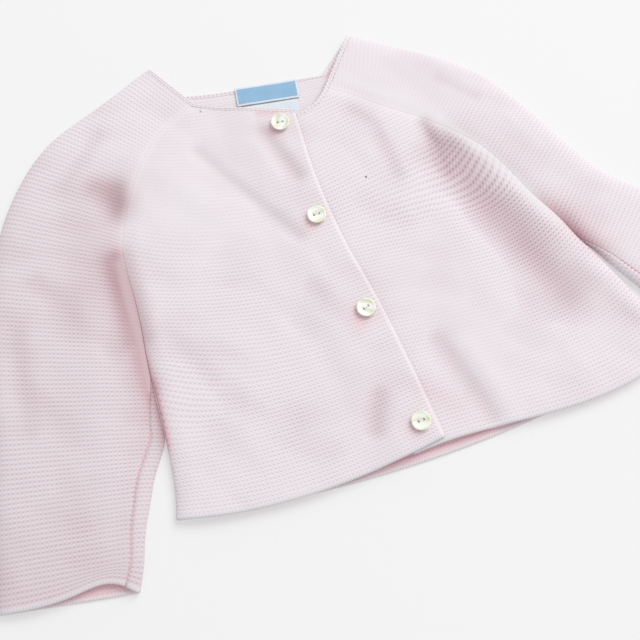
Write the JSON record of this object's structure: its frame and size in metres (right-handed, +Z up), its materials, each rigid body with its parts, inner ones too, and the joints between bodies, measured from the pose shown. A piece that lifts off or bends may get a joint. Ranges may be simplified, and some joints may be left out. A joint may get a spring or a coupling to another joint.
{
  "type": "baby cardigan",
  "caption": "Baby's garter-stitch cardigan with raglan sleeves, a round neck and a buttoned front, laid flat on its back.",
  "frame": {"origin": "middle of the bounding box's underside, on the table", "axes": "+Y up the centre front to the neck, +X to the wearer's left, +Z up from the table"},
  "size_m": [0.492, 0.3104, 0.0127],
  "materials": {
    "knit": "pale pink cotton garter stitch",
    "edging": "pale pink knitted chain edging",
    "label_blue": "woven satin tape",
    "label_white": "printed-tape white satin, blank",
    "pearl": "polished mother-of-pearl"
  },
  "bodies": {
    "root": {"back": "knit", "front_right": "knit", "front_left": "knit", "sleeve_right": "knit", "sleeve_left": "knit", "neck_edging": "edging", "neck_label": "label_blue", "care_label": "label_white", "button_1": "pearl", "button_2": "pearl", "button_3": "pearl", "button_4": "pearl"}
  },
  "joints": []
}
